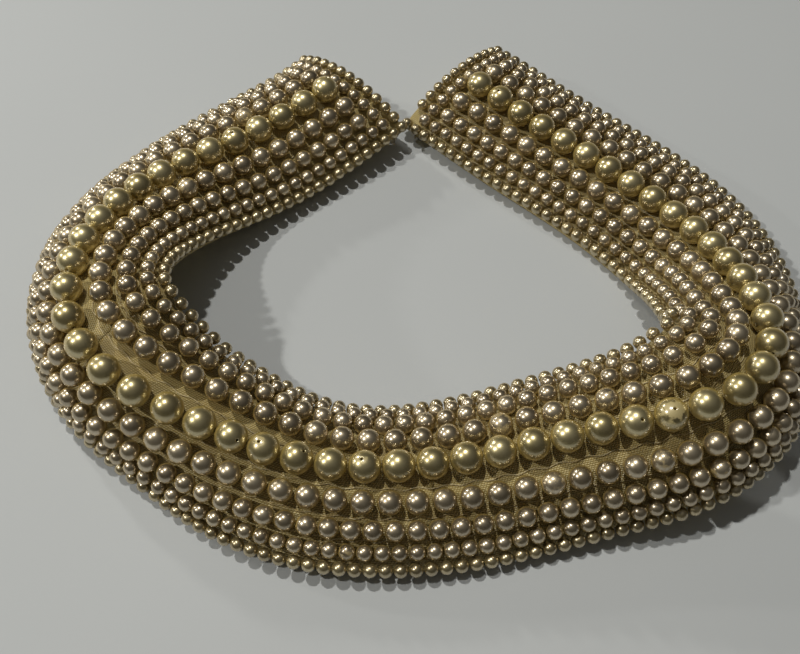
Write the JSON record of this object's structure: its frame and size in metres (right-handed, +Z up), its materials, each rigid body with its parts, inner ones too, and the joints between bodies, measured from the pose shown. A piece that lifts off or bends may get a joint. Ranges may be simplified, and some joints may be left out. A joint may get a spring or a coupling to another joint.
{
  "type": "beaded collar",
  "caption": "Curved satin band covered in rows of imitation pearls, open at the back with a wire hook and eye; worn round the neck as a collar or over the hair as a headband.",
  "frame": {"origin": "centre of the collar's overall box, on the surface it lies on", "axes": "+X from the left bend to the right bend, +Y from the front towards the two open ends, +Z up through the neck opening"},
  "size_m": [0.208, 0.1772, 0.0327],
  "materials": {
    "satin": "satin weave, aged",
    "stiffener": "coarse stiffened cotton net",
    "lining": "plain weave, matt",
    "thread": "twisted silk-like thread",
    "pearl_large": "pearlescent coating, worn at the holes",
    "pearl_medium": "pearlescent coating",
    "pearl_small": "pearlescent coating",
    "pearl_edge": "pearlescent coating, darkened",
    "wire": "nickel-plated, slightly tarnished"
  },
  "bodies": {
    "left_arm": {"cover_left_arm": "satin", "stiffener_left_arm": "stiffener", "lining_left_arm": "lining", "couching_threads_left_arm": "thread", "pearls_8mm_left_arm": "pearl_large", "pearls_6mm_left_arm": "pearl_medium", "pearls_5mm_left_arm": "pearl_medium", "pearls_4mm_left_arm": "pearl_small", "pearls_edge_left_arm": "pearl_edge", "eye": "wire", "eye_stitches": "thread"},
    "left_bend": {"cover_left_bend": "satin", "stiffener_left_bend": "stiffener", "lining_left_bend": "lining", "couching_threads_left_bend": "thread", "pearls_8mm_left_bend": "pearl_large", "pearls_6mm_left_bend": "pearl_medium", "pearls_5mm_left_bend": "pearl_medium", "pearls_4mm_left_bend": "pearl_small", "pearls_edge_left_bend": "pearl_edge"},
    "front": {"cover_front": "satin", "stiffener_front": "stiffener", "lining_front": "lining", "couching_threads_front": "thread", "pearls_8mm_front": "pearl_large", "pearls_6mm_front": "pearl_medium", "pearls_5mm_front": "pearl_medium", "pearls_4mm_front": "pearl_small", "pearls_edge_front": "pearl_edge"},
    "right_bend": {"cover_right_bend": "satin", "stiffener_right_bend": "stiffener", "lining_right_bend": "lining", "couching_threads_right_bend": "thread", "pearls_8mm_right_bend": "pearl_large", "pearls_6mm_right_bend": "pearl_medium", "pearls_5mm_right_bend": "pearl_medium", "pearls_4mm_right_bend": "pearl_small", "pearls_edge_right_bend": "pearl_edge"},
    "right_arm": {"cover_right_arm": "satin", "stiffener_right_arm": "stiffener", "lining_right_arm": "lining", "couching_threads_right_arm": "thread", "pearls_8mm_right_arm": "pearl_large", "pearls_6mm_right_arm": "pearl_medium", "pearls_5mm_right_arm": "pearl_medium", "pearls_4mm_right_arm": "pearl_small", "pearls_edge_right_arm": "pearl_edge", "hook": "wire", "hook_stitches": "thread"}
  },
  "joints": [
    {"name": "left_bend_flex", "type": "hinge", "parent": "front", "child": "left_bend", "pos_m": [-0.0647, -0.0699, 0], "axis": [0, 0, 1], "range_deg": [0, 12]},
    {"name": "left_arm_flex", "type": "hinge", "parent": "left_bend", "child": "left_arm", "pos_m": [-0.1045, -0.015, 0], "axis": [0, 0, 1], "range_deg": [0, 12]},
    {"name": "right_bend_flex", "type": "hinge", "parent": "front", "child": "right_bend", "pos_m": [0.0715, -0.0709, 0], "axis": [0, 0, -1], "range_deg": [0, 12]},
    {"name": "right_arm_flex", "type": "hinge", "parent": "right_bend", "child": "right_arm", "pos_m": [0.1046, -0.0181, 0], "axis": [0, 0, -1], "range_deg": [0, 12]}
  ]
}
